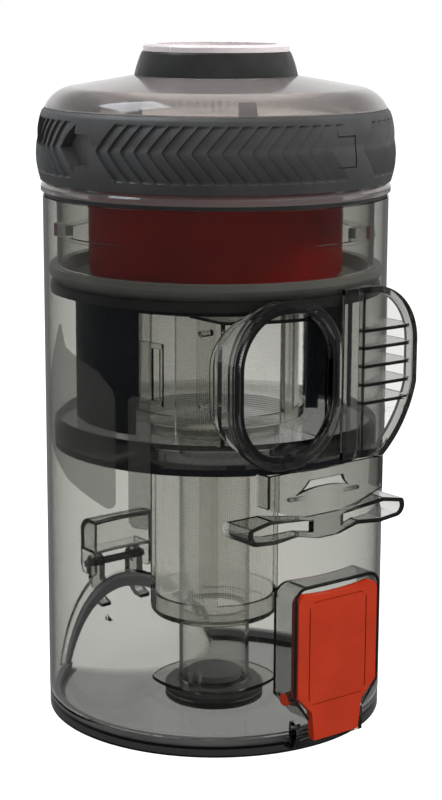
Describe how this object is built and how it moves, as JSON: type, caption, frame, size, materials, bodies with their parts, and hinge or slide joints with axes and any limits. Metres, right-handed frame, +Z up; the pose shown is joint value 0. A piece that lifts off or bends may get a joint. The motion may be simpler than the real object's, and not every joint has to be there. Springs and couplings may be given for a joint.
{
  "type": "vacuum cleaner dust tank",
  "caption": "Clear cylindrical dust tank of a bagless vacuum cleaner with drop-down door, thumb latch, cyclone separator, filter and twist lid.",
  "frame": {"origin": "on the tank's axis at the plane the closed door stands on", "axes": "+Z up along the tank's axis, -Y towards the inlet port and latch, +Y towards the door's hinge"},
  "size_m": [0.171, 0.1885, 0.324],
  "materials": {
    "tank_clear": "gloss",
    "frosted": "satin",
    "black_rubber": "matte",
    "latch_clear": "gloss",
    "door_clear": "gloss",
    "steel_pin": "satin",
    "orange": "satin",
    "grey_plastic": "satin",
    "separator_clear": "gloss",
    "black_plastic": "satin",
    "skirt_smoke": "gloss",
    "mesh": "woven",
    "red_plastic": "satin",
    "filter_media": "pleated",
    "lid_clear": "gloss",
    "grip": "matte"
  },
  "bodies": {
    "tank": {"tank_shell": "tank_clear", "wall_panel_large": "frosted", "wall_panel_narrow": "frosted", "inlet_port": "tank_clear", "port_gasket": "latch_clear", "interface_plate": "tank_clear", "shelf_bracket": "tank_clear", "latch_housing": "latch_clear", "hinge_bracket": "tank_clear"},
    "door": {"door_panel": "door_clear", "door_gasket": "black_rubber", "door_hinge_arms": "latch_clear", "hinge_pin": "steel_pin", "door_catch": "latch_clear", "door_pad": "black_rubber"},
    "latch": {"latch_lever": "orange"},
    "separator": {"separator_flange": "grey_plastic", "flange_gasket": "black_rubber", "separator_ring": "separator_clear", "separator_lugs": "separator_clear", "shroud_wall": "black_plastic", "upper_screen_frame": "separator_clear", "upper_mesh": "mesh", "frame_clip": "separator_clear", "skirt_disc": "skirt_smoke", "skirt_rim": "black_plastic", "cup_frame": "separator_clear", "cup_mesh": "mesh", "dust_tube": "separator_clear", "tube_flange": "separator_clear", "tube_plug": "black_plastic", "inlet_duct": "separator_clear"},
    "filter": {"filter_cup": "red_plastic", "filter_media": "filter_media"},
    "lid": {"lid_dome": "lid_clear", "lid_lugs": "black_rubber", "lid_gasket": "black_rubber", "outlet_collar": "black_rubber", "outlet_ring": "lid_clear"},
    "grip": {"grip_ring": "grip"}
  },
  "joints": [
    {"name": "door_swing", "type": "hinge", "parent": "tank", "child": "door", "pos_m": [0, 0.0885, 0.051], "axis": [1, 0, 0], "range_deg": [0, 95]},
    {"name": "latch_press", "type": "hinge", "parent": "tank", "child": "latch", "pos_m": [0, -0.086, 0.0293], "axis": [-1, 0, 0], "range_deg": [0, 6], "stiffness_Nm_per_rad": 2, "springref_deg": -2.86},
    {"name": "separator_lift", "type": "slide", "parent": "tank", "child": "separator", "axis": [0, 0, 1], "range_m": [0, 0.25]},
    {"name": "filter_lift", "type": "slide", "parent": "separator", "child": "filter", "axis": [0, 0, 1], "range_m": [0, 0.08]},
    {"name": "lid_lift", "type": "slide", "parent": "filter", "child": "lid", "axis": [0, 0, 1], "range_m": [0, 0.08]},
    {"name": "grip_turn", "type": "hinge", "parent": "lid", "child": "grip", "pos_m": [0, 0, 0.278], "axis": [0, 0, -1], "range_deg": [0, 20]}
  ]
}
